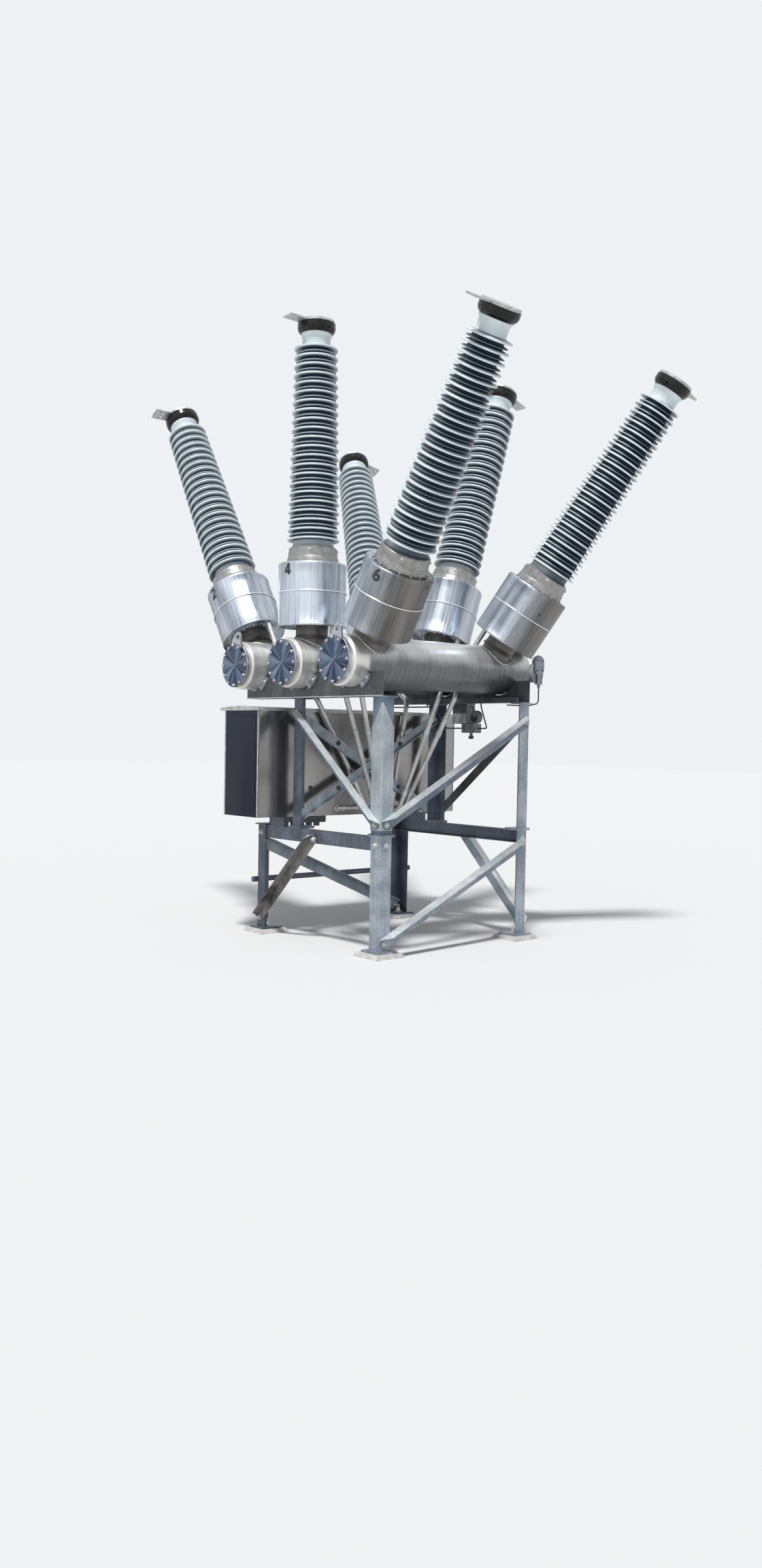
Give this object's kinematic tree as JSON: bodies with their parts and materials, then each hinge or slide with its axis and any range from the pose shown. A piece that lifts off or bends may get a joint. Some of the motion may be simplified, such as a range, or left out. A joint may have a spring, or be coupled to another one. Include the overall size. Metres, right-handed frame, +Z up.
{
  "type": "three-pole dead-tank circuit breaker",
  "caption": "High-voltage dead-tank circuit breaker: gas tanks with leaning bushings on a braced steel stand, with a control cabinet.",
  "frame": {"origin": "centre of the four anchor bolts, on the underside of the grout pads", "axes": "+Z up; +Y along the tanks towards the drive end; +X across the poles, away from the control cabinet"},
  "size_m": [4.4636, 2.8878, 5.1092],
  "materials": {
    "shed_grey": "light grey, satin gloss",
    "cap_black": "near black, glossy",
    "collar_grey": "light grey, weathered",
    "dark_metal": "dark grey",
    "stainless_sheet": "polished sheet with soft dents",
    "galvanised_steel": "hot-dip galvanised, matte with spangle",
    "conduit_metal": "bright zinc",
    "tank_metal": "bare cast and rolled aluminium, slightly mottled",
    "cover_metal": "turned disc, polished rim",
    "gauge_metal": "grey with a pale dial",
    "pipe_black": "black",
    "concrete": "trowelled grout",
    "can_metal": "bright sheet with a fine grain",
    "terminal_metal": "bare, matte"
  },
  "bodies": {
    "root": {"bushing_1": "shed_grey", "bushing_2": "shed_grey", "bushing_3": "shed_grey", "bushing_4": "shed_grey", "bushing_5": "shed_grey", "bushing_6": "shed_grey", "bushing_caps": "cap_black", "bushing_collars": "collar_grey", "cabinet_gland_box": "dark_metal", "cabinet_roof": "stainless_sheet", "cabinet_supports": "galvanised_steel", "can_conduits": "conduit_metal", "control_cabinet": "stainless_sheet", "drive_housings": "tank_metal", "drive_shaft_tubes": "tank_metal", "end_covers": "cover_metal", "frame_braces": "galvanised_steel", "frame_cross_brace": "galvanised_steel", "frame_leg_doubler": "galvanised_steel", "frame_leg_front_left": "galvanised_steel", "frame_leg_front_right": "galvanised_steel", "frame_leg_rear_left": "galvanised_steel", "frame_leg_rear_right": "galvanised_steel", "gas_monitor": "gauge_metal", "gas_pipes": "pipe_black", "grout_pads": "concrete", "instrument_can_1": "can_metal", "instrument_can_2": "can_metal", "instrument_can_3": "can_metal", "instrument_can_4": "can_metal", "instrument_can_5": "can_metal", "instrument_can_6": "can_metal", "pole_1_tank": "tank_metal", "pole_2_tank": "tank_metal", "pole_3_tank": "tank_metal", "saddle_beam_front": "galvanised_steel", "saddle_beam_rear": "galvanised_steel", "side_strut": "galvanised_steel", "stand_beam_front": "galvanised_steel", "stand_beam_rear": "galvanised_steel", "stand_braces": "galvanised_steel", "stand_leg_front_left": "galvanised_steel", "stand_leg_front_right": "galvanised_steel", "stand_leg_rear_left": "galvanised_steel", "stand_leg_rear_right": "galvanised_steel", "tank_lugs": "galvanised_steel", "tank_nozzles": "tank_metal", "terminal_plates": "terminal_metal"}
  },
  "joints": []
}
